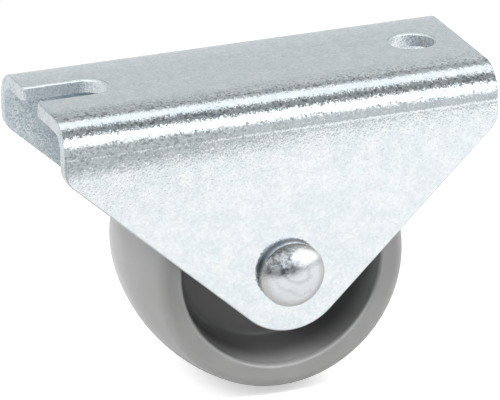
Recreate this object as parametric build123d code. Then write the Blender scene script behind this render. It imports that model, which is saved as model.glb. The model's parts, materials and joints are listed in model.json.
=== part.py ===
from build123d import *
import os
from math import acos, atan2, cos, hypot, radians, sin, tan

# Rigid furniture castor: a wheel on a riveted axle, in one folded sheet bracket.
# Sizes are millimetres. X runs along the mounting plate from the slotted end to the
# screw-hole end, Y along the axle, Z up. The origin is the centre of the plate's top face.

# Bracket blank and its two folds
sheet_thickness = 1.5
plate_length = 49.3
bracket_width = 21.0  # over the outer faces of the two cheeks
fold_outer_radius = 3.2
blank_edge_round = 0.25  # die roll along the outer rim of the blank

# Cheek outline
wheel_top_clearance = 3.4  # tread to the underside of the plate
cheek_end_drop = 6.25  # upright end edge, plate face to the corner
cheek_corner_radius = 2.6
cheek_nose_radius = 6.75  # around the axle
axle_offset = 0.4  # axle from mid-length, towards the screw hole

# Fixing points in the plate, both on one line along X
fixing_line_offset = 0.9  # line from the plate's centre line, towards +Y
screw_hole_diameter = 5.0
screw_hole_end_distance = 5.4  # hole centre to the plate's end
screw_slot_width = 4.7
screw_slot_depth = 8.8  # open end to the deepest point
slot_mouth_round = 0.6

# Wheel
wheel_diameter = 30.0
tread_crown = 1.1  # drop of the tread from its middle to its edge
tread_edge_round = 1.1
side_clearance = 0.7  # wheel rim to the inside of a cheek
rim_wall = 3.6
recess_draft = 8.0  # degrees
recess_lip_round = 0.5
recess_root_round = 1.4
web_thickness = 5.0
hub_wall = 2.0
hub_clearance = 0.3  # hub end to the inside of a cheek
hub_edge_round = 0.3

# Axle rivet, shouldered so that it clamps one cheek and leaves the hub free
shank_diameter = 5.0
tenon_diameter = 3.8
bore_clearance = 0.05  # all round the shank in the hub and in the near cheek
head_diameter = 7.2
head_side_height = 1.0
head_crown_height = 1.3
head_rim_round = 0.15
tail_crown_height = 1.6

# Closeness at which two places count as one when edges and corners are picked
same_place = 1e-4

# Places worked out from the sizes above
half_length = plate_length / 2
half_width = bracket_width / 2
half_inside = half_width - sheet_thickness
wheel_radius = wheel_diameter / 2
axle_drop = sheet_thickness + wheel_top_clearance + wheel_radius
axle_place = Pos(axle_offset, 0, -axle_drop)
shank_radius = shank_diameter / 2
bore_radius = shank_radius + bore_clearance
head_radius = head_diameter / 2
slot_radius = screw_slot_width / 2
hole_x = half_length - screw_hole_end_distance


def fold_envelope(inset):
    """Closed section of the folded sheet's outer skin, moved inwards by inset."""
    side = half_width - inset
    foot = -axle_drop - 2 * cheek_nose_radius
    radius = fold_outer_radius - inset
    skin = FilletPolyline(
        (-side, foot), (-side, -inset), (side, -inset), (side, foot), radius=radius
    )
    return make_face(skin.edges() + [Line((side, foot), (-side, foot))])


def tangent_foot(corner, side):
    """Where the line from a cheek's corner touches the nose circle around the axle."""
    centre = Vector(axle_offset, -axle_drop)
    away = corner - centre
    distance = hypot(away.X, away.Y)
    angle = atan2(away.Y, away.X) - side * acos(cheek_nose_radius / distance)
    return centre + Vector(cos(angle), sin(angle)) * cheek_nose_radius


def cheek_outline():
    """Side view of the bracket: plate end edges, diagonals and the nose under the axle."""
    left = Vector(-half_length, -cheek_end_drop)
    right = Vector(half_length, -cheek_end_drop)
    left_foot = tangent_foot(left, -1)
    right_foot = tangent_foot(right, 1)
    nose_bottom = Vector(axle_offset, -axle_drop - cheek_nose_radius)
    upper = Polyline(left_foot, left, (-half_length, 0), (half_length, 0), right, right_foot)
    nose = ThreePointArc(right_foot, nose_bottom, left_foot)
    outline = make_face(upper.edges() + [nose])
    corners = outline.vertices().filter_by(lambda v: abs(v.Y + cheek_end_drop) < same_place)
    return fillet(corners, cheek_corner_radius)


def screw_slot():
    """Open-ended slot with a round inner end, cut in from the plate's -X end."""
    bottom = half_length - screw_slot_depth + slot_radius
    overrun = sheet_thickness
    length = half_length - bottom + overrun
    straight = Pos(-bottom - length / 2, 0) * Rectangle(length, screw_slot_width)
    profile = Pos(0, fixing_line_offset) * (straight + Pos(-bottom, 0) * Circle(slot_radius))
    return extrude(profile, amount=sheet_thickness, both=True)


def is_blank_rim(edge):
    """True for an edge where the outer skin meets a cut face of the blank."""
    middle = edge @ 0.5
    fold_y = abs(middle.Y) - (half_width - fold_outer_radius)
    fold_z = middle.Z + fold_outer_radius
    on_plate = abs(middle.Z) < same_place and fold_y < same_place
    on_cheek = abs(abs(middle.Y) - half_width) < same_place and fold_z < same_place
    in_fold = fold_y > same_place and fold_z > same_place
    on_fold = in_fold and abs(hypot(fold_y, fold_z) - fold_outer_radius) < same_place
    at_fold_end = abs(fold_y) < same_place or abs(fold_z) < same_place
    along_fold = edge.geom_type == GeomType.LINE and at_fold_end
    return (on_plate or on_cheek or on_fold) and not along_fold


def make_bracket():
    """One sheet blank: slotted plate on top, folded down into two pointed cheeks."""
    section = Plane.YZ * (fold_envelope(0) - fold_envelope(sheet_thickness))
    channel = extrude(section, amount=plate_length, both=True)
    outline = extrude(Plane.XZ * cheek_outline(), amount=bracket_width, both=True)
    body = channel & outline
    body -= screw_slot()
    mouth = body.edges().filter_by(Axis.Z).filter_by(
        lambda e: abs(e.center().X + half_length) < same_place and e.center().Z > -sheet_thickness
    )
    body = fillet(mouth, slot_mouth_round)
    body -= Pos(hole_x, fixing_line_offset) * Cylinder(screw_hole_diameter / 2, 4 * sheet_thickness)
    near_hole = Rot(X=90) * Cylinder(bore_radius, 4 * sheet_thickness)
    far_hole = Rot(X=90) * Cylinder(tenon_diameter / 2, 4 * sheet_thickness)
    rim = body.edges().filter_by(is_blank_rim)
    body = fillet(rim, blank_edge_round)
    body -= axle_place * Pos(0, -half_width, 0) * near_hole
    body -= axle_place * Pos(0, half_width, 0) * far_hole
    return body


def turned(profile):
    """Solid of revolution about the axle from a profile with X as radius and Y along the axle."""
    return axle_place * revolve(profile, Axis.Y)


def corners_at(face, radius, offset):
    """Corners of a turned profile at a radius and at an offset either side of mid-width."""
    return face.vertices().filter_by(
        lambda v: abs(v.X - radius) < same_place and abs(abs(v.Y) - offset) < same_place
    )


def make_wheel():
    """Moulded wheel: crowned tread, a drafted recess in each side, a web and a plain hub."""
    rim_half = half_inside - side_clearance
    hub_half = half_inside - hub_clearance
    web_half = web_thickness / 2
    edge_radius = wheel_radius - tread_crown
    lip_radius = wheel_radius - rim_wall
    root_radius = lip_radius - (rim_half - web_half) * tan(radians(recess_draft))
    hub_radius = bore_radius + hub_wall
    tread = ThreePointArc((edge_radius, -rim_half), (wheel_radius, 0), (edge_radius, rim_half))
    inside = Polyline(
        (edge_radius, rim_half),
        (lip_radius, rim_half),
        (root_radius, web_half),
        (hub_radius, web_half),
        (hub_radius, hub_half),
        (bore_radius, hub_half),
        (bore_radius, -hub_half),
        (hub_radius, -hub_half),
        (hub_radius, -web_half),
        (root_radius, -web_half),
        (lip_radius, -rim_half),
        (edge_radius, -rim_half),
    )
    profile = make_face([tread] + inside.edges())
    profile = fillet(corners_at(profile, edge_radius, rim_half), tread_edge_round)
    profile = fillet(corners_at(profile, lip_radius, rim_half), recess_lip_round)
    profile = fillet(corners_at(profile, root_radius, web_half), recess_root_round)
    profile = fillet(corners_at(profile, hub_radius, web_half), recess_root_round / 2)
    profile = fillet(corners_at(profile, hub_radius, hub_half), hub_edge_round)
    return turned(profile)


def make_axle_rivet():
    """Shouldered rivet: domed head at -Y, shank in the hub, tenon upset over the +Y cheek."""
    head_face = -half_width
    rim = head_face - head_side_height
    top = rim - head_crown_height
    tail_face = half_width
    tail_top = tail_face + tail_crown_height
    crown_mid = dome_point(head_crown_height)
    tail_mid = dome_point(tail_crown_height)
    head = ThreePointArc(
        (0, top), (crown_mid.X, rim - crown_mid.Y), (head_radius, rim)
    )
    body = Polyline(
        (head_radius, rim),
        (head_radius, head_face),
        (shank_radius, head_face),
        (shank_radius, half_inside),
        (tenon_diameter / 2, half_inside),
        (tenon_diameter / 2, tail_face),
        (head_radius, tail_face),
    )
    tail = ThreePointArc(
        (head_radius, tail_face), (tail_mid.X, tail_face + tail_mid.Y), (0, tail_top)
    )
    profile = make_face([head] + body.edges() + [tail, Line((0, tail_top), (0, top))])
    profile = fillet(corners_at(profile, head_radius, -rim), head_rim_round)
    return turned(profile)


def dome_point(height):
    """A point part-way up a dome over the head circle, as radius and height above its base."""
    ball = (head_radius**2 + height**2) / (2 * height)
    radius = head_radius / 2
    return Vector(radius, (ball**2 - radius**2) ** 0.5 - (ball - height))


parts = {
    "bracket": make_bracket(),
    "wheel": make_wheel(),
    "axle_rivet": make_axle_rivet(),
}

os.makedirs("parts", exist_ok=True)
for name, shape in parts.items():
    export_step(shape, f"parts/{name}.step")
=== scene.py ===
import bpy
import bmesh
import json
import math
from mathutils import Matrix, Vector


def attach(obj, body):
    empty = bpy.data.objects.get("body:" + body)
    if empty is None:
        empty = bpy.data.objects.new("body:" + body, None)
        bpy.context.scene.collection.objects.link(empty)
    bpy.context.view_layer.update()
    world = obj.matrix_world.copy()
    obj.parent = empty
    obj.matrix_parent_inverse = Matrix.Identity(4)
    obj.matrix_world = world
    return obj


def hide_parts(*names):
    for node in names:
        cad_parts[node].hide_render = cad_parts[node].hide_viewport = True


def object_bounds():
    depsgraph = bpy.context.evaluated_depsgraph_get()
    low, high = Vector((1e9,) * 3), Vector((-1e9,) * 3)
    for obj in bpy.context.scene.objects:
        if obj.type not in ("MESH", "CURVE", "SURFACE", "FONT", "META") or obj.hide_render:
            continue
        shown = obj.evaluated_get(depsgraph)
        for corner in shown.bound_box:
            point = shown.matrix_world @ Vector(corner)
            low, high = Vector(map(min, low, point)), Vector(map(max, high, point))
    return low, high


# Looks for the rigid furniture castor, in metres and in the frame of its solids.

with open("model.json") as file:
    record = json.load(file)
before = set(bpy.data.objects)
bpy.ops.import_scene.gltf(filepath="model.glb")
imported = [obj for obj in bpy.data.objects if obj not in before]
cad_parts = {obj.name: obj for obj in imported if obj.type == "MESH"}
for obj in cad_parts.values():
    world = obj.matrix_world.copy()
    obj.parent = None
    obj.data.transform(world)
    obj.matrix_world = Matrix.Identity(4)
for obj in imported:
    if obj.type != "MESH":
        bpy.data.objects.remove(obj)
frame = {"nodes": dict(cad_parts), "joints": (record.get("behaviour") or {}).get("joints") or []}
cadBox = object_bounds()
nodes = frame["nodes"]
axle = Vector(frame["joints"][0]["pos_m"])
print("stage: frame loaded")

sheet = {
    "halfWidth": 0.0105,
    "thickness": 0.0015,
    "foldRadius": 0.0032,  # outer skin
    "easeWidth": 0.0030,  # run of plate and cheek that the fold still bends a little
    "plateTilt": 0.060,  # radians, where the plate meets the fold
    "cheekTilt": 0.105,  # radians, where the cheek meets the fold
    "creaseDrop": 0.00040,  # press line below the end of the fold
    "creaseHalfWidth": 0.00034,
    "creaseLift": 0.75,  # height of the press line, in grain depths
    "turnSlot": -0.02,  # radians by which the near fold is turned at the slotted end
    "turnHole": 0.07,  # and at the screw-hole end
    "openedPlate": 0.0026,  # how far beside the fold bending opened the plating
    "openedCheek": 0.0014,
    "dullFrom": 0.0034,  # the duller strip on the cheek, under the fold
    "dullTo": 0.0012,
    "slotFadeFrom": -0.018,  # what marks the slotted end fades out along this run
    "slotFadeTo": 0.006,
    "shadeFrom": 0.0222,  # distance from mid-length where the painted shade of the inner skin begins
    "shadeTo": 0.0165,  # and where it is darkest
}


# Node helpers

def addNode(tree, kind, place, values=None, **settings):
    node = tree.nodes.new(kind)
    node.location = place
    for name, value in settings.items():
        setattr(node, name, value)
    for name, value in (values or {}).items():
        node.inputs[name].default_value = value
    return node


def connect(tree, source, target):
    tree.links.new(source, target)


def newGroup(name, inputs, outputs):
    group = bpy.data.node_groups.new(name, "ShaderNodeTree")
    for label, kind, value in inputs:
        socket = group.interface.new_socket(name=label, in_out="INPUT", socket_type=kind)
        if value is not None:
            socket.default_value = value
    for label, kind in outputs:
        group.interface.new_socket(name=label, in_out="OUTPUT", socket_type=kind)
    start = addNode(group, "NodeGroupInput", (-900, 0))
    end = addNode(group, "NodeGroupOutput", (700, 0))
    return group, start, end


def mathNode(tree, place, operation, first, second=None, third=None):
    node = addNode(tree, "ShaderNodeMath", place, operation=operation)
    for index, value in enumerate((first, second, third)):
        if value is None:
            continue
        if isinstance(value, (int, float)):
            node.inputs[index].default_value = value
        else:
            connect(tree, value, node.inputs[index])
    return node.outputs[0]


def rangeNode(tree, place, value, low, high, toLow=0.0, toHigh=1.0, smooth=True):
    node = addNode(tree, "ShaderNodeMapRange", place, clamp=True)
    node.interpolation_type = "SMOOTHSTEP" if smooth else "LINEAR"
    connect(tree, value, node.inputs["Value"])
    for name, number in (("From Min", low), ("From Max", high), ("To Min", toLow), ("To Max", toHigh)):
        node.inputs[name].default_value = number
    return node.outputs["Result"]


# Shared effects

def makeGrain():
    group, start, end = newGroup(
        "fineGrain",
        [
            ("Vector", "NodeSocketVector", None),
            ("Grain Size", "NodeSocketFloat", 0.00025),
            ("Cloud Size", "NodeSocketFloat", 0.004),
            ("Cloud Share", "NodeSocketFloat", 0.4),
        ],
        [
            ("Height", "NodeSocketFloat"),
            ("Clouds", "NodeSocketFloat"),
            ("Specks", "NodeSocketFloat"),
            ("Crystals", "NodeSocketFloat"),
        ],
    )
    grainScale = mathNode(group, (-700, 200), "DIVIDE", 1.0, start.outputs["Grain Size"])
    cloudScale = mathNode(group, (-700, -100), "DIVIDE", 1.0, start.outputs["Cloud Size"])
    fine = addNode(group, "ShaderNodeTexNoise", (-450, 250), {"Detail": 1.5, "Roughness": 0.5})
    broad = addNode(group, "ShaderNodeTexNoise", (-450, 0), {"Detail": 4.0, "Roughness": 0.55})
    dots = addNode(group, "ShaderNodeTexVoronoi", (-450, -250))
    cells = addNode(group, "ShaderNodeTexVoronoi", (-450, -500), {"Randomness": 1.0})
    connect(group, start.outputs["Vector"], cells.inputs["Vector"])
    connect(group, grainScale, cells.inputs["Scale"])
    cellTone = addNode(group, "ShaderNodeSeparateColor", (-200, -500))
    connect(group, cells.outputs["Color"], cellTone.inputs[0])
    connect(group, cellTone.outputs[0], end.inputs["Crystals"])
    for node, scale in ((fine, grainScale), (broad, cloudScale)):
        connect(group, start.outputs["Vector"], node.inputs["Vector"])
        connect(group, scale, node.inputs["Scale"])
    dotScale = mathNode(group, (-600, -300), "MULTIPLY", cloudScale, 3.0)
    connect(group, start.outputs["Vector"], dots.inputs["Vector"])
    connect(group, dotScale, dots.inputs["Scale"])
    mixed = addNode(group, "ShaderNodeMix", (0, 150), data_type="FLOAT")
    connect(group, start.outputs["Cloud Share"], mixed.inputs[0])
    connect(group, fine.outputs[0], mixed.inputs[2])
    connect(group, broad.outputs[0], mixed.inputs[3])
    connect(group, mixed.outputs[0], end.inputs["Height"])
    connect(group, rangeNode(group, (0, -50), broad.outputs[0], 0.35, 0.65), end.inputs["Clouds"])
    specks = rangeNode(group, (0, -300), dots.outputs["Distance"], 0.05, 0.16, 1.0, 0.0)
    connect(group, specks, end.inputs["Specks"])
    return group


grainGroup = makeGrain()


def makeFacets():
    group, start, end = newGroup(
        "crystalFacets",
        [
            ("Vector", "NodeSocketVector", None),
            ("Normal", "NodeSocketVector", None),
            ("Grain Size", "NodeSocketFloat", 0.0002),
            ("Tilt", "NodeSocketFloat", 0.1),
        ],
        [("Normal", "NodeSocketVector")],
    )
    scale = mathNode(group, (-700, 0), "DIVIDE", 1.0, start.outputs["Grain Size"])
    cells = addNode(group, "ShaderNodeTexVoronoi", (-500, 0), {"Randomness": 1.0})
    connect(group, start.outputs["Vector"], cells.inputs["Vector"])
    connect(group, scale, cells.inputs["Scale"])
    lean = addNode(group, "ShaderNodeVectorMath", (-300, 0), operation="SUBTRACT")
    lean.inputs[1].default_value = (0.5, 0.5, 0.5)
    connect(group, cells.outputs["Color"], lean.inputs[0])
    scaled = addNode(group, "ShaderNodeVectorMath", (-100, 0), operation="SCALE")
    connect(group, lean.outputs[0], scaled.inputs[0])
    connect(group, start.outputs["Tilt"], scaled.inputs["Scale"])
    leaning = addNode(group, "ShaderNodeVectorMath", (100, 0), operation="ADD")
    connect(group, start.outputs["Normal"], leaning.inputs[0])
    connect(group, scaled.outputs[0], leaning.inputs[1])
    unit = addNode(group, "ShaderNodeVectorMath", (300, 0), operation="NORMALIZE")
    connect(group, leaning.outputs[0], unit.inputs[0])
    connect(group, unit.outputs[0], end.inputs["Normal"])
    return group


facetGroup = makeFacets()


def placeGrain(tree, place, coords, **values):
    node = addNode(tree, "ShaderNodeGroup", place, node_tree=grainGroup)
    for name, value in values.items():
        node.inputs[name].default_value = value
    connect(tree, coords, node.inputs["Vector"])
    return node


def radiusFromAxle(tree, place, coords):
    flat = addNode(tree, "ShaderNodeVectorMath", place, operation="MULTIPLY_ADD")
    flat.inputs[1].default_value = (1, 0, 1)
    flat.inputs[2].default_value = (-axle.x, 0, -axle.z)
    connect(tree, coords, flat.inputs[0])
    radius = addNode(tree, "ShaderNodeVectorMath", (place[0] + 200, place[1]), operation="LENGTH")
    connect(tree, flat.outputs[0], radius.inputs[0])
    return radius.outputs["Value"]


def newMaterial(name):
    material = bpy.data.materials.new(name)
    material.use_nodes = True
    tree = material.node_tree
    tree.nodes.clear()
    output = addNode(tree, "ShaderNodeOutputMaterial", (900, 0))
    shader = addNode(tree, "ShaderNodeBsdfPrincipled", (600, 0))
    connect(tree, shader.outputs[0], output.inputs[0])
    coords = addNode(tree, "ShaderNodeTexCoord", (-1300, 0)).outputs["Object"]
    return material, tree, shader, coords


def mixColor(tree, place, factor, first, second):
    node = addNode(tree, "ShaderNodeMix", place, data_type="RGBA")
    connect(tree, factor, node.inputs[0])
    for value, socket in ((first, node.inputs[6]), (second, node.inputs[7])):
        if isinstance(value, tuple):
            socket.default_value = value
        else:
            connect(tree, value, socket)
    return node.outputs[2]


# Bracket: zinc-plated sheet

bracketLook = {
    "pale": (0.860, 0.893, 0.908, 1),
    "blue": (0.780, 0.842, 0.876, 1),
    "dull": (0.66, 0.695, 0.715, 1),  # duller plating under the fold, towards the slotted end
    "dullDark": (0.44, 0.465, 0.48, 1),  # and its dark crystals
    "edge": (0.50, 0.53, 0.55, 1),  # painted shade on the rolled rim of the cheeks
    "edgeShare": 0.85,
    "innerSkin": (0.94, 0.985, 1.0, 1),  # duller plating inside the channel
    "innerBlue": (0.60, 0.73, 0.82, 1),
    "innerDeep": (0.56, 0.67, 0.74, 1),  # further in, where the channel shades itself
    "innerGrain": 0.00009,
    "innerTilt": 0.30,
    "speck": (0.46, 0.47, 0.47, 1),
    "speckShare": 0.50,
    "openDark": (0.27, 0.28, 0.29, 1),  # crystals that bending opened
    "openShare": 0.80,  # and how far they go towards that
    "crystalTone": 0.26,  # how far single crystals may go towards the speck color
    "sheared": (0.90, 0.93, 0.95, 1),  # cut faces of the blank
    "shearedDark": (0.44, 0.49, 0.53, 1),
    "grainSize": 0.00024,
    "facetSize": 0.00014,
    "cloudSize": 0.0014,
    "smooth": 0.07,  # roughness of the clean plating
    "cloudy": 0.11,
    "inside": 0.45,  # roughness of the inner skin
    "insideMetal": 0.62,
    "shear": 0.36,  # roughness of the cut faces
    "shearMetal": 0.75,
    "roll": 0.48,  # roughness of the rolled rim of the slot and hole
    "flatTilt": 0.058,  # lean of the crystals where the sheet stayed flat
    "foldTilt": 0.145,  # and where bending opened the plating
    "bump": 0.35,
    "grainDepth": 0.00005,
}


def easeHeight(tree, place, value, low, high, tilt):
    share = rangeNode(tree, place, value, low, high, smooth=False)
    square = mathNode(tree, (place[0] + 150, place[1]), "MULTIPLY", share, share)
    rise = -tilt * (high - low) / 2
    return mathNode(tree, (place[0] + 300, place[1]), "MULTIPLY", square, rise)


def mixValue(tree, place, factor, first, second):
    node = addNode(tree, "ShaderNodeMix", place, data_type="FLOAT")
    connect(tree, factor, node.inputs[0])
    for value, socket in ((first, node.inputs[2]), (second, node.inputs[3])):
        if isinstance(value, (int, float)):
            socket.default_value = value
        else:
            connect(tree, value, socket)
    return node.outputs[0]


def makeZinc(look):
    material, tree, shader, coords = newMaterial("zincSheet")
    grain = placeGrain(
        tree, (-900, 100), coords,
        **{"Grain Size": look["grainSize"], "Cloud Size": look["cloudSize"], "Cloud Share": 0.25},
    )
    clouds, crystals = grain.outputs["Clouds"], grain.outputs["Crystals"]
    split = addNode(tree, "ShaderNodeSeparateXYZ", (-1100, -400))
    connect(tree, coords, split.inputs[0])
    along, side, level = split.outputs["X"], split.outputs["Y"], split.outputs["Z"]
    across = mathNode(tree, (-1000, -200), "ABSOLUTE", side)
    skin = sheet["halfWidth"] - sheet["thickness"]
    foldStart = sheet["halfWidth"] - sheet["foldRadius"]
    foldEnd = -sheet["foldRadius"]

    # Zones of the sheet
    between = rangeNode(tree, (-800, -150), across, skin + 0.0001, skin + 0.0003, 1.0, 0.0)
    underside = -sheet["thickness"]
    below = rangeNode(tree, (-800, -250), level, underside, underside + 0.0002, 1.0, 0.0)
    inner = mathNode(tree, (-600, -200), "MULTIPLY", between, below)
    openFrom, openDown = foldStart - sheet["openedPlate"], foldEnd - sheet["openedCheek"]
    bentAcross = rangeNode(tree, (-800, -1400), across, openFrom, foldStart + 0.0004)
    bentDown = rangeNode(tree, (-800, -1550), level, openDown, foldEnd + 0.0006)
    bent = mathNode(tree, (-600, -1450), "MULTIPLY", bentAcross, bentDown)
    facing = addNode(tree, "ShaderNodeSeparateXYZ", (-1100, 600))
    connect(tree, tree.nodes["Texture Coordinate"].outputs["Normal"], facing.inputs[0])
    upward = mathNode(tree, (-1000, 700), "ABSOLUTE", facing.outputs["Z"])
    sideways = mathNode(tree, (-1000, 550), "ABSOLUTE", facing.outputs["Y"])
    # painted shade: the cheeks' rolled rim, below the fold, is drawn darker in place of a darker
    # reflection
    rimFrom = rangeNode(tree, (-900, 1300), sideways, 0.30, 0.55)
    rimTo = rangeNode(tree, (-900, 1400), sideways, 0.88, 0.99, 1.0, 0.0)
    rimLow, rimHigh = foldEnd - 0.0010, foldEnd - 0.0002
    belowFold = rangeNode(tree, (-900, 1500), level, rimLow, rimHigh, look["edgeShare"], 0.0)
    rimHere = mathNode(tree, (-700, 1350), "MULTIPLY", rimFrom, rimTo)
    edgeRim = mathNode(tree, (-550, 1400), "MULTIPLY", rimHere, belowFold)
    levelEdge = rangeNode(tree, (-900, 700), upward, 0.15, 0.35, 1.0, 0.0)
    sideEdge = rangeNode(tree, (-900, 550), sideways, 0.15, 0.35, 1.0, 0.0)
    onPlate = rangeNode(tree, (-900, 850), across, foldStart - 0.0002, foldStart, 1.0, 0.0)
    plateCut = mathNode(tree, (-700, 750), "MULTIPLY", levelEdge, onPlate)
    cut = mathNode(tree, (-550, 650), "MAXIMUM", plateCut, sideEdge)
    notFlat = rangeNode(tree, (-700, 900), upward, 0.6, 0.8, 1.0, 0.0)
    sheared = mathNode(tree, (-400, 650), "MULTIPLY", cut, notFlat)
    rollTop = rangeNode(tree, (-800, 1050), level, -0.00006, -0.00001, 1.0, 0.0)
    rollFoot = rangeNode(tree, (-800, 1200), level, -0.00034, -0.00026)
    rollBand = mathNode(tree, (-600, 1100), "MULTIPLY", rollTop, rollFoot)
    rolled = mathNode(tree, (-450, 1100), "MULTIPLY", rollBand, onPlate)
    nearSide = rangeNode(tree, (-700, -600), side, -0.0104, -0.0102, 1.0, 0.0)
    nearHalf = rangeNode(tree, (-700, -700), side, -0.002, 0.0, 1.0, 0.0)
    dullFrom, dullTo = foldEnd - sheet["dullFrom"], foldEnd - sheet["dullTo"]
    dullLow = rangeNode(tree, (-800, -1700), level, dullFrom, dullTo)
    dullHigh = rangeNode(tree, (-800, -1850), level, foldEnd + 0.0003, foldEnd + 0.0010, 1.0, 0.0)
    dullBand = mathNode(tree, (-600, -1750), "MULTIPLY", dullLow, dullHigh)
    slotFadeFrom, slotFadeTo = sheet["slotFadeFrom"], sheet["slotFadeTo"]
    dullEnd = rangeNode(tree, (-800, -2000), along, slotFadeFrom, slotFadeTo, 1.0, 0.0)
    dullPatch = mathNode(tree, (-450, -1800), "MULTIPLY", dullBand, dullEnd)
    dullBreak = rangeNode(tree, (-600, -2000), clouds, 0.0, 1.0, 0.55, 1.0, smooth=False)
    dull = mathNode(tree, (-300, -1800), "MULTIPLY", dullPatch, dullBreak)

    # Color: crystals and specks, darker where bending opened the plating
    tone = mixColor(tree, (-400, 300), clouds, look["pale"], look["blue"])
    # Opened crystals show at the start of the near fold and again past its first bright band
    openCrystals = rangeNode(tree, (-700, 450), crystals, 0.60, 0.95, 0.0, look["openShare"])
    atStart = rangeNode(tree, (-900, 500), level, -0.00028, -0.00010)
    pastBand = rangeNode(tree, (-900, 400), level, -0.00080, -0.00060, 1.0, 0.0)
    nearStart = mathNode(tree, (-850, 550), "MULTIPLY", atStart, nearHalf)
    underFold = rangeNode(tree, (-1000, 350), level, -0.0029, -0.0024, 1.0, 0.0)
    leftShare = rangeNode(tree, (-1000, 250), along, slotFadeFrom, slotFadeTo, 1.0, 0.12)
    underShare = mixValue(tree, (-900, 300), underFold, 1.0, leftShare)
    pastShare = mathNode(tree, (-850, 400), "MULTIPLY", pastBand, underShare)
    openZone = mathNode(tree, (-800, 450), "MAXIMUM", nearStart, pastShare)
    openHere = mathNode(tree, (-750, 500), "MULTIPLY", openZone, bent)
    opened = mathNode(tree, (-600, 500), "MULTIPLY", openCrystals, openHere)
    dots = mathNode(tree, (-700, 400), "MULTIPLY", grain.outputs["Specks"], look["speckShare"])
    crystalShare = mathNode(tree, (-500, 550), "MULTIPLY", crystals, look["crystalTone"])
    crystalled = mixColor(tree, (-350, 400), crystalShare, tone, look["speck"])
    dotted = mixColor(tree, (-300, 300), dots, crystalled, look["speck"])
    speckled = mixColor(tree, (-250, 300), opened, dotted, look["openDark"])
    darkShare = rangeNode(tree, (-300, 150), crystals, 0.45, 0.95)
    dullTone = mixColor(tree, (-200, 150), darkShare, look["dull"], look["dullDark"])
    dulled = mixColor(tree, (-100, 300), dull, speckled, dullTone)
    fine = placeGrain(
        tree, (-900, -100), coords,
        **{"Grain Size": look["innerGrain"], "Cloud Size": look["cloudSize"], "Cloud Share": 0.25},
    )
    fineDark = rangeNode(tree, (-450, 800), fine.outputs["Crystals"], 0.25, 0.95)
    cloudShare = mathNode(tree, (-450, 650), "MULTIPLY_ADD", clouds, 0.6, 0.4)
    blotch = mathNode(tree, (-300, 500), "MULTIPLY", cloudShare, fineDark)
    # painted shade: the inner skin darkens towards mid-length, where the channel shades itself
    lengthwise = mathNode(tree, (-450, 950), "ABSOLUTE", along)
    innerShadeShare = rangeNode(tree, (-300, 950), lengthwise, sheet["shadeTo"], sheet["shadeFrom"], 0.75, 0.0)
    innerBase = mixColor(tree, (-150, 650), innerShadeShare, look["innerSkin"], look["innerDeep"])
    innerTone = mixColor(tree, (-150, 500), blotch, innerBase, look["innerBlue"])
    edged = mixColor(tree, (0, 200), edgeRim, dulled, look["edge"])
    skinColor = mixColor(tree, (50, 300), inner, edged, innerTone)
    shearTone = mixColor(tree, (100, 550), blotch, look["sheared"], look["shearedDark"])
    connect(tree, mixColor(tree, (250, 350), sheared, skinColor, shearTone), shader.inputs["Base Color"])

    # Roughness and metal
    rough = rangeNode(tree, (-400, 0), clouds, 0.0, 1.0, look["smooth"], look["cloudy"], smooth=False)
    skinRough = mixValue(tree, (-200, 0), inner, rough, look["inside"])
    rollRough = mixValue(tree, (-50, 0), rolled, skinRough, look["roll"])
    sheetRough = mixValue(tree, (100, 0), sheared, rollRough, look["shear"])
    connect(tree, sheetRough, shader.inputs["Roughness"])
    skinMetal = mixValue(tree, (-50, -120), inner, 1.0, look["insideMetal"])
    sheetMetal = mixValue(tree, (100, -120), sheared, skinMetal, look["shearMetal"])
    connect(tree, sheetMetal, shader.inputs["Metallic"])

    # Relief: slow bend beside the folds, crystal facets, fine grain and the press line
    plateFrom = foldStart - sheet["easeWidth"]
    cheekFrom = foldEnd - sheet["easeWidth"]
    plateEase = easeHeight(tree, (-800, -800), across, plateFrom, foldStart, sheet["plateTilt"])
    cheekEase = easeHeight(tree, (-800, -1000), level, cheekFrom, foldEnd, sheet["cheekTilt"])
    leftward = rangeNode(tree, (-800, -1200), along, -0.024, 0.020, 1.0, 0.30)
    cheekShare = mathNode(tree, (-400, -1000), "MULTIPLY", cheekEase, leftward)
    ease = mathNode(tree, (-200, -800), "ADD", plateEase, cheekShare)
    tilt = addNode(tree, "ShaderNodeBump", (0, -700), {"Strength": 1.0, "Distance": 1.0})
    connect(tree, ease, tilt.inputs["Height"])
    atSlot, atHole = sheet["turnSlot"], sheet["turnHole"]
    turn = rangeNode(tree, (-200, -1200), along, -0.020, 0.020, atSlot, atHole, smooth=False)
    nearBent = mathNode(tree, (0, -1400), "MULTIPLY", bent, nearHalf)
    turnHere = mathNode(tree, (150, -1200), "MULTIPLY", turn, nearBent)
    over = addNode(tree, "ShaderNodeVectorMath", (0, -1000), operation="CROSS_PRODUCT")
    over.inputs[1].default_value = (1, 0, 0)
    connect(tree, tilt.outputs[0], over.inputs[0])
    overScaled = addNode(tree, "ShaderNodeVectorMath", (150, -1000), operation="SCALE")
    connect(tree, over.outputs[0], overScaled.inputs[0])
    connect(tree, turnHere, overScaled.inputs["Scale"])
    turned = addNode(tree, "ShaderNodeVectorMath", (300, -1000), operation="ADD")
    connect(tree, tilt.outputs[0], turned.inputs[0])
    connect(tree, overScaled.outputs[0], turned.inputs[1])
    facets = addNode(
        tree, "ShaderNodeGroup", (450, -600), {"Grain Size": look["facetSize"]}, node_tree=facetGroup,
    )
    connect(tree, coords, facets.inputs["Vector"])
    connect(tree, turned.outputs[0], facets.inputs["Normal"])
    outerTilt = mixValue(tree, (150, -500), bent, look["flatTilt"], look["foldTilt"])
    connect(tree, mixValue(tree, (300, -500), inner, outerTilt, look["innerTilt"]), facets.inputs["Tilt"])
    line = mathNode(tree, (-900, -400), "SUBTRACT", level, foldEnd - sheet["creaseDrop"])
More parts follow.
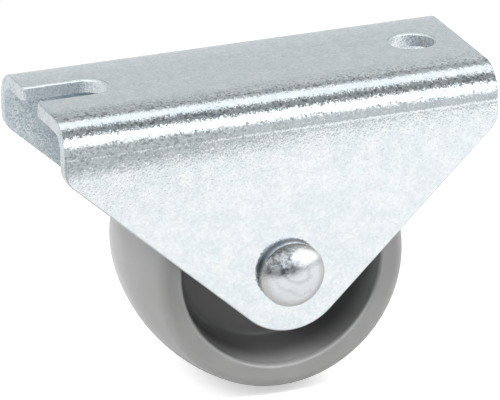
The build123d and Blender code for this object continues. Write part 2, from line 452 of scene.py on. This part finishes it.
    away = mathNode(tree, (-800, -400), "ABSOLUTE", line)
    press = rangeNode(tree, (-700, -400), away, 0.0, sheet["creaseHalfWidth"], 1.0, 0.0)
    crease = mathNode(tree, (-500, -450), "MULTIPLY", press, nearSide)
    creaseLift = mathNode(tree, (-350, -450), "MULTIPLY", crease, sheet["creaseLift"])
    height = mathNode(tree, (-200, -350), "ADD", grain.outputs["Height"], creaseLift)
    bump = addNode(
        tree, "ShaderNodeBump", (350, -300), {"Strength": look["bump"], "Distance": look["grainDepth"]},
    )
    connect(tree, height, bump.inputs["Height"])
    connect(tree, facets.outputs[0], bump.inputs["Normal"])
    connect(tree, bump.outputs[0], shader.inputs["Normal"])
    return material


# Axle rivet: formed steel

rivetLook = {
    "bright": (0.71, 0.735, 0.755, 1),
    "side": (0.03, 0.034, 0.042, 1),  # painted shade on the side of the head, darkest where it meets the cheek
    "sideRim": (0.42, 0.44, 0.46, 1),  # and lighter, with less painted shade, next to its round rim
    "dull": (0.085, 0.09, 0.10, 1),  # in the forming marks, darkened further as painted shade over the upper left of the dome
    "grainSize": 0.00022,
    "cloudSize": 0.0007,
    "ring": (0.50, 0.495, 0.48, 1),  # edge of the dome
    "swirl": (0.46, 0.47, 0.48, 1),  # fine lines left by the forming tool
    "swirlScale": 170.0,
    "swirlShare": 0.45,
    "ringFrom": 0.0024,  # radius where the dome begins to darken towards its edge
    "headRadius": 0.0036,
    "headTop": -0.0128,  # top of the dome, where the swirl is centred
    "sideFrom": -0.01138,  # the straight side of the head begins under its round rim
    "sideTo": -0.01040,  # and ends on the cheek
    "dentCentre": (-0.0017, -0.0124, 0.0016),  # from the axle
    "dentReach": 0.0028,
    "dentFloor": -0.0001,  # height over the axle where the marks begin
    "dentFull": 0.0009,  # and where they are at full strength
    "streakShare": 0.45,  # how far clouds break up the marks
    "dentDepth": 1.6,  # in grain depths
    "smooth": 0.18,
    "cloudy": 0.28,
    "bump": 0.30,
}


def makeRivetSteel(look):
    material, tree, shader, coords = newMaterial("rivetSteel")
    grain = placeGrain(
        tree, (-900, 100), coords,
        **{"Grain Size": look["grainSize"], "Cloud Size": look["cloudSize"], "Cloud Share": 0.5},
    )
    centre = axle + Vector(look["dentCentre"])
    reach = addNode(tree, "ShaderNodeVectorMath", (-900, -300), operation="DISTANCE")
    reach.inputs[1].default_value = centre
    connect(tree, coords, reach.inputs[0])
    near, far = look["dentReach"] * 0.4, look["dentReach"]
    patch = rangeNode(tree, (-700, -300), reach.outputs["Value"], near, far, 1.0, 0.0)
    split = addNode(tree, "ShaderNodeSeparateXYZ", (-1100, -600))
    connect(tree, coords, split.inputs[0])
    floor, full = axle.z + look["dentFloor"], axle.z + look["dentFull"]
    over = rangeNode(tree, (-700, -500), split.outputs["Z"], floor, full)
    marks = mathNode(tree, (-600, -300), "MULTIPLY", patch, over)
    broken = look["streakShare"]
    streaks = mathNode(tree, (-550, -150), "MULTIPLY_ADD", grain.outputs["Clouds"], broken, 1 - broken)
    mottle = mathNode(tree, (-500, -100), "MULTIPLY", streaks, marks)
    radius = radiusFromAxle(tree, (-900, -700), coords)
    ring = rangeNode(tree, (-500, -700), radius, look["ringFrom"], look["headRadius"])
    dome = mixColor(tree, (-550, 350), ring, look["bright"], look["ring"])
    aside, sideFrom, sideTo = split.outputs["Y"], look["sideFrom"], look["sideTo"]
    underRim = rangeNode(tree, (-700, -900), aside, sideFrom, sideFrom + 0.00003)
    overCheek = rangeNode(tree, (-700, -1050), aside, sideTo, sideTo + 0.00003, 1.0, 0.0)
    sideMask = mathNode(tree, (-500, -900), "MULTIPLY", underRim, overCheek)
    shifted = addNode(tree, "ShaderNodeVectorMath", (-1100, 500), operation="SUBTRACT")
    shifted.inputs[1].default_value = (axle.x, look["headTop"], axle.z)
    connect(tree, coords, shifted.inputs[0])
    swirl = addNode(
        tree, "ShaderNodeTexWave", (-900, 500),
        {"Scale": look["swirlScale"], "Distortion": 11.0, "Detail": 3.0, "Detail Scale": 1.5},
        wave_type="RINGS", rings_direction="SPHERICAL",
    )
    connect(tree, shifted.outputs[0], swirl.inputs["Vector"])
    thin = rangeNode(tree, (-700, 500), swirl.outputs["Fac"], 0.55, 0.95, 0.0, look["swirlShare"])
    middle = rangeNode(tree, (-700, 650), radius, 0.0010, 0.0028, 1.0, 0.15)
    swirled = mathNode(tree, (-550, 550), "MULTIPLY", thin, middle)
    dome = mixColor(tree, (-450, 450), swirled, dome, look["swirl"])
    # painted shade on the side of the head: dark at the cheek, lighter towards the rim, broken up by
    # crystals
    toRim = rangeNode(tree, (-700, -1200), aside, sideFrom, sideTo - 0.0003, 1.0, 0.0)
    uneven = mathNode(tree, (-700, -1350), "MULTIPLY_ADD", grain.outputs["Crystals"], 0.6, 0.4)
    sideShadeFade = mathNode(tree, (-550, -1200), "MULTIPLY", toRim, uneven)
    sideTone = mixColor(tree, (-450, -1050), sideShadeFade, look["side"], look["sideRim"])
    base = mixColor(tree, (-400, 350), sideMask, dome, sideTone)
    # forming marks, their darkness partly painted shade over the upper left of the dome
    color = mixColor(tree, (-200, 300), mottle, base, look["dull"])
    connect(tree, color, shader.inputs["Base Color"])
    clouds = grain.outputs["Clouds"]
    rough = rangeNode(tree, (-200, 50), clouds, 0.0, 1.0, look["smooth"], look["cloudy"], smooth=False)
    connect(tree, rough, shader.inputs["Roughness"])
    shader.inputs["Metallic"].default_value = 1.0
    dents = mathNode(tree, (-300, -250), "MULTIPLY", mottle, look["dentDepth"])
    height = mathNode(tree, (-100, -250), "ADD", grain.outputs["Height"], dents)
    bump = addNode(tree, "ShaderNodeBump", (300, -300), {"Strength": look["bump"], "Distance": 0.0001})
    connect(tree, height, bump.inputs["Height"])
    connect(tree, bump.outputs[0], shader.inputs["Normal"])
    return material


# Turned piece: a profile of (radius, offset along the axle) spun about the axle

def roundCorner(before, corner, after, radius, steps=8):
    toBefore = (before - corner).normalized()
    toAfter = (after - corner).normalized()
    half = toBefore.angle(toAfter) / 2
    centre = corner + (toBefore + toAfter).normalized() * (radius / math.sin(half))
    start = corner + toBefore * (radius / math.tan(half)) - centre
    turn = start.angle_signed(corner + toAfter * (radius / math.tan(half)) - centre)
    return [centre + Matrix.Rotation(-turn * i / steps, 2) @ start for i in range(steps + 1)]


def domePoints(chord, height, count):
    ball = (chord * chord + height * height) / (2 * height)
    spots = [chord * i / count for i in range(count + 1)]
    return [(spot, math.sqrt(ball * ball - spot * spot) - (ball - height)) for spot in spots]


def turnPiece(name, points, material, segments=288):
    shell = bmesh.new()
    rings = []
    for radius, offset in points:
        if radius < 1e-7:
            rings.append([shell.verts.new(axle + Vector((0, offset, 0)))])
            continue
        ring = []
        for i in range(segments):
            angle = 2 * math.pi * i / segments
            spot = Vector((radius * math.cos(angle), offset, radius * math.sin(angle)))
            ring.append(shell.verts.new(axle + spot))
        rings.append(ring)
    for low, high in zip(rings, rings[1:]):
        for i in range(segments):
            k = (i + 1) % segments
            corners = [low[i % len(low)], low[k % len(low)], high[k % len(high)], high[i % len(high)]]
            shell.faces.new(list(dict.fromkeys(corners)))
    bmesh.ops.recalc_face_normals(shell, faces=shell.faces)
    mesh = bpy.data.meshes.new(name)
    shell.to_mesh(mesh)
    shell.free()
    mesh.shade_smooth()
    mesh.set_sharp_from_angle(angle=math.radians(35))
    mesh.materials.append(material)
    piece = bpy.data.objects.new(name, mesh)
    bpy.context.scene.collection.objects.link(piece)
    return piece


# Wheel: moulded plastic

wheelLook = {
    "body": (0.400, 0.403, 0.394, 1),
    "dusty": (0.424, 0.427, 0.418, 1),
    "recess": (0.215, 0.218, 0.214, 1),  # painted shade: darker than the outside, in place of some of the recess's shade
    "lipRadius": 0.0114,
    "rimHalf": 0.0083,
    "wallTo": 0.0044,  # depth, from mid-width, where the recess has its full painted shade
    "smooth": 0.15,
    "cloudy": 0.20,
    "shine": 0.30,
    "lipShine": 1.0,  # thin gloss along the lip of the recess
    "lipIor": 1.65,
    "lipRoughness": 0.12,
    "grainSize": 0.00018,
    "cloudSize": 0.005,
    "bump": 0.05,
}


def makePlastic(look):
    material, tree, shader, coords = newMaterial("wheelPlastic")
    grain = placeGrain(
        tree, (-900, 100), coords,
        **{"Grain Size": look["grainSize"], "Cloud Size": look["cloudSize"], "Cloud Share": 0.3},
    )
    split = addNode(tree, "ShaderNodeSeparateXYZ", (-1100, -400))
    connect(tree, coords, split.inputs[0])
    aside = mathNode(tree, (-900, -400), "ABSOLUTE", split.outputs["Y"])
    reach = radiusFromAxle(tree, (-1100, -600), coords)
    lipRadius, rimHalf = look["lipRadius"], look["rimHalf"]
    # painted shade: the recess darkens from its lip inwards
    deep = rangeNode(tree, (-700, -400), aside, look["wallTo"], rimHalf - 0.0003, 1.0, 0.0)
    within = rangeNode(tree, (-700, -600), reach, lipRadius, lipRadius + 0.0004, 1.0, 0.0)
    recess = mathNode(tree, (-500, -500), "MULTIPLY", deep, within)
    outerHalf = rangeNode(tree, (-700, -800), reach, lipRadius + 0.0003, lipRadius + 0.0006, 1.0, 0.0)
    innerHalf = rangeNode(tree, (-700, -950), aside, rimHalf - 0.0008, rimHalf - 0.0005)
    lip = mathNode(tree, (-500, -850), "MULTIPLY", outerHalf, innerHalf)
    tone = mixColor(tree, (-350, 300), grain.outputs["Clouds"], look["body"], look["dusty"])
    connect(tree, mixColor(tree, (-150, 300), recess, tone, look["recess"]), shader.inputs["Base Color"])
    clouds = grain.outputs["Clouds"]
    rough = rangeNode(tree, (-200, 50), clouds, 0.0, 1.0, look["smooth"], look["cloudy"], smooth=False)
    connect(tree, rough, shader.inputs["Roughness"])
    shader.inputs["IOR"].default_value = 1.5
    shader.inputs["Specular IOR Level"].default_value = look["shine"]
    shader.inputs["Coat IOR"].default_value = look["lipIor"]
    shader.inputs["Coat Roughness"].default_value = look["lipRoughness"]
    coat = mathNode(tree, (-300, -850), "MULTIPLY", lip, look["lipShine"])
    connect(tree, coat, shader.inputs["Coat Weight"])
    bump = addNode(tree, "ShaderNodeBump", (300, -300), {"Strength": look["bump"], "Distance": 0.00004})
    connect(tree, grain.outputs["Height"], bump.inputs["Height"])
    connect(tree, bump.outputs[0], shader.inputs["Normal"])
    return material


rivetForm = {
    "headRadius": 0.0036,
    "headFace": -0.0105,
    "sideHeight": 0.0010,
    "crown": 0.0013,
    "rimRound": 0.00015,
    "shank": 0.0025,
    "shoulder": 0.0090,
    "tenon": 0.0019,
    "tailFace": 0.0105,
    "tailCrown": 0.0016,
}


def makeRivet(form, material):
    head, rim = form["headRadius"], form["headFace"] - form["sideHeight"]
    dome = [Vector((spot, rim - rise)) for spot, rise in domePoints(head, form["crown"], 24)][:-1]
    foot = Vector((head, form["headFace"]))
    points = dome + roundCorner(dome[-1], Vector((head, rim)), foot, form["rimRound"])
    points += [
        (head, form["headFace"]),
        (form["shank"], form["headFace"]),
        (form["shank"], form["shoulder"]),
        (form["tenon"], form["shoulder"]),
        (form["tenon"], form["tailFace"]),
    ]
    tail = domePoints(head, form["tailCrown"], 24)
    points += [(spot, form["tailFace"] + rise) for spot, rise in reversed(tail)]
    return turnPiece("rivetBody", points, material)


def dress(name, material):
    nodes[name].data.materials.clear()
    nodes[name].data.materials.append(material)


dress("bracket", makeZinc(bracketLook))
dress("wheel", makePlastic(wheelLook))

rivet = makeRivet(rivetForm, makeRivetSteel(rivetLook))
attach(rivet, "housing")
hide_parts("axle_rivet")
print("stage: materials placed")


# Floor

floorLook = {
    "radius": 0.6,
    "centre": (0.06, 0.0),
    "solidTo": 0.094,  # bright near the object, clear further out
    "clearFrom": 0.122,
    "color": (0.78, 0.78, 0.78, 1),
    "liftSeen": 0.55,  # light added for the eye only
    "liftGloss": 0.03,  # light added for reflections only
}


def makeFloor(look):
    mesh = bpy.data.meshes.new("floor")
    count = 96
    level = cadBox[0][2]
    turns = [2 * math.pi * i / count for i in range(count)]
    ring = [(look["radius"] * math.cos(turn), look["radius"] * math.sin(turn), level) for turn in turns]
    mesh.from_pydata(ring, [], [list(range(count))])
    floor = bpy.data.objects.new("floor", mesh)
    bpy.context.scene.collection.objects.link(floor)
    material = bpy.data.materials.new("paleFloor")
    material.use_nodes = True
    tree = material.node_tree
    tree.nodes.clear()
    output = addNode(tree, "ShaderNodeOutputMaterial", (900, 0))
    place = addNode(tree, "ShaderNodeTexCoord", (-900, 0)).outputs["Object"]
    length = addNode(tree, "ShaderNodeVectorMath", (-700, 0), operation="DISTANCE")
    length.inputs[1].default_value = (*look["centre"], level)
    connect(tree, place, length.inputs[0])
    away = length.outputs["Value"]
    solid = rangeNode(tree, (-500, 0), away, look["solidTo"], look["clearFrom"], 1.0, 0.0)
    side = addNode(tree, "ShaderNodeNewGeometry", (-700, -300))  # the floor is clear from below
    fromAbove = mathNode(tree, (-500, -300), "SUBTRACT", 1.0, side.outputs["Backfacing"])
    shown = mathNode(tree, (-300, -150), "MULTIPLY", solid, fromAbove)
    path = addNode(tree, "ShaderNodeLightPath", (-700, 300))
    seen = mathNode(tree, (-500, 400), "MULTIPLY", path.outputs["Is Camera Ray"], look["liftSeen"])
    gloss = mathNode(tree, (-500, 250), "MULTIPLY", path.outputs["Is Glossy Ray"], look["liftGloss"])
    lift = mathNode(tree, (-300, 300), "ADD", seen, gloss)
    matte = addNode(tree, "ShaderNodeBsdfDiffuse", (-100, 100), {"Color": look["color"]})
    glow = addNode(tree, "ShaderNodeEmission", (-100, -50))
    connect(tree, lift, glow.inputs["Strength"])
    both = addNode(tree, "ShaderNodeAddShader", (200, 50))
    connect(tree, matte.outputs[0], both.inputs[0])
    connect(tree, glow.outputs[0], both.inputs[1])
    clear = addNode(tree, "ShaderNodeBsdfTransparent", (200, -150))
    blend = addNode(tree, "ShaderNodeMixShader", (500, 0))
    connect(tree, shown, blend.inputs[0])
    connect(tree, clear.outputs[0], blend.inputs[1])
    connect(tree, both.outputs[0], blend.inputs[2])
    connect(tree, blend.outputs[0], output.inputs[0])
    mesh.materials.append(material)


makeFloor(floorLook)
print("stage: floor placed")


# What reflections see: brightness by the angle around the X axis, 0 overhead and 90 at the front horizon

studio = [
    (-180, 0.85), (-92, 0.82), (-74, 0.72), (-66, 0.66), (-61, 0.50), (-55, 0.46), (-46, 0.50),
    (-37, 0.58), (-31, 0.66), (-27, 1.08), (-22, 1.20), (-17, 1.20), (-8, 1.20), (0, 1.18), (4, 1.12),
    (8, 0.74), (14, 0.42), (24, 0.31), (34, 0.35), (41, 0.53), (46, 1.10), (51, 1.80), (56, 2.80),
    (70, 2.80), (76, 1.70), (81, 1.25), (88, 0.80), (94, 0.68), (102, 0.66), (108, 0.70), (114, 0.80),
    (180, 0.80),
]
coolTint = (0.95, 0.985, 1.0)

# Light on everything that isn't a reflection

softLight = {
    "overhead": 1.00,
    "horizon": 0.50,
    "under": 0.50,
    "front": 0.06,  # share of that light left towards the front
    "frontFrom": 0.30,  # where it begins to fade, as the forward part of the direction
    "frontTo": 0.72,
}


def makeWorld():
    world = bpy.data.worlds.new("studio")
    bpy.context.scene.world = world
    world.use_nodes = True
    tree = world.node_tree
    tree.nodes.clear()
    output = addNode(tree, "ShaderNodeOutputWorld", (900, 0))
    coords = addNode(tree, "ShaderNodeTexCoord", (-1100, 0)).outputs["Generated"]
    split = addNode(tree, "ShaderNodeSeparateXYZ", (-900, 0))
    connect(tree, coords, split.inputs[0])
    front = mathNode(tree, (-700, 0), "MULTIPLY", split.outputs["Y"], -1.0)
    angle = mathNode(tree, (-500, 0), "ARCTAN2", front, split.outputs["Z"])
    share = rangeNode(tree, (-300, 0), angle, -math.pi, math.pi, smooth=False)
    ramp = addNode(tree, "ShaderNodeValToRGB", (-100, 0))
    stops = ramp.color_ramp.elements
    while len(stops) > 1:
        stops.remove(stops[-1])
    for index, (degrees, level) in enumerate(studio):
        spot = (degrees + 180) / 360
        stop = stops[0] if index == 0 else stops.new(spot)
        stop.position = spot
        stop.color = (level * coolTint[0], level * coolTint[1], level * coolTint[2], 1)
    connect(tree, share, ramp.inputs[0])
    mirrored = addNode(tree, "ShaderNodeBackground", (100, 0))
    connect(tree, ramp.outputs[0], mirrored.inputs["Color"])
    height, horizon = split.outputs["Z"], softLight["horizon"]
    upper = rangeNode(tree, (-300, -300), height, 0.0, 0.9, horizon, softLight["overhead"])
    lower = rangeNode(tree, (-300, -500), height, -0.5, 0.0, softLight["under"] - horizon, 0.0)
    soft = addNode(tree, "ShaderNodeBackground", (100, -300))
    around = mathNode(tree, (-100, -400), "ADD", upper, lower)
    fadeFrom, fadeTo = softLight["frontFrom"], softLight["frontTo"]
    frontShare = rangeNode(tree, (-300, -700), front, fadeFrom, fadeTo, 1.0, softLight["front"])
    strength = mathNode(tree, (0, -500), "MULTIPLY", around, frontShare)
    connect(tree, strength, soft.inputs["Strength"])
    glossPath = addNode(tree, "ShaderNodeLightPath", (100, 300))
    light = addNode(tree, "ShaderNodeMixShader", (350, 0))
    connect(tree, glossPath.outputs["Is Glossy Ray"], light.inputs[0])
    connect(tree, soft.outputs[0], light.inputs[1])
    connect(tree, mirrored.outputs[0], light.inputs[2])
    white = addNode(tree, "ShaderNodeBackground", (300, -200), {"Color": (1, 1, 1, 1)})
    path = addNode(tree, "ShaderNodeLightPath", (300, 300))
    blend = addNode(tree, "ShaderNodeMixShader", (600, 0))
    connect(tree, path.outputs["Is Camera Ray"], blend.inputs[0])
    connect(tree, light.outputs[0], blend.inputs[1])
    connect(tree, white.outputs[0], blend.inputs[2])
    connect(tree, blend.outputs[0], output.inputs[0])


makeWorld()

# Two soft lamps that graze the wheel from either side, both kept out of reflections

lamps = {
    "left": {"place": (-0.31, -0.12, 0.28), "size": 0.28, "power": 1.10},
    "right": {"place": (0.32, -0.12, 0.26), "size": 0.28, "power": 1.28},
}


def makeLamp(name, look):
    light = bpy.data.lights.new(name, "AREA")
    light.shape = "DISK"
    light.size = look["size"]
    light.energy = look["power"]
    lamp = bpy.data.objects.new(name, light)
    lamp.location = look["place"]
    lamp.rotation_euler = (axle - Vector(look["place"])).to_track_quat("-Z", "Y").to_euler()
    lamp.visible_glossy = False
    bpy.context.scene.collection.objects.link(lamp)


for name, look in lamps.items():
    makeLamp(name, look)
print("stage: studio lit")


# Camera, from the fit of the outline to the photograph

view = {
    "azimuth": 20.281,
    "elevation": 20.528,
    "roll": -0.979,
    "distance": 0.83058,
    "aim": (-0.000513, 0.0, 0.004662),  # from the axle
    "focalPixels": 9.268 * 830.58,
    "imageWidth": 500,
}


def makeCamera(look):
    azimuth, elevation, roll = (math.radians(look[k]) for k in ("azimuth", "elevation", "roll"))
    flat = math.cos(elevation)
    back = Vector((-math.sin(azimuth) * flat, -math.cos(azimuth) * flat, math.sin(elevation)))
    right = Vector((math.cos(azimuth), -math.sin(azimuth), 0))
    up = back.cross(right)
    turnedRight = right * math.cos(roll) + up * math.sin(roll)
    turnedUp = up * math.cos(roll) - right * math.sin(roll)
    camera = bpy.data.cameras.new("camera")
    camera.sensor_width = 36
    camera.lens = look["focalPixels"] / look["imageWidth"] * camera.sensor_width
    camera.clip_start = 0.01
    camera.clip_end = 10
    piece = bpy.data.objects.new("camera", camera)
    turn = Matrix((turnedRight, turnedUp, back)).transposed().to_4x4()
    piece.matrix_world = Matrix.Translation(axle + Vector(look["aim"]) + back * look["distance"]) @ turn
    bpy.context.scene.collection.objects.link(piece)
    bpy.context.scene.camera = piece


makeCamera(view)
bpy.context.scene.view_settings.view_transform = "Standard"
print("stage: camera placed")
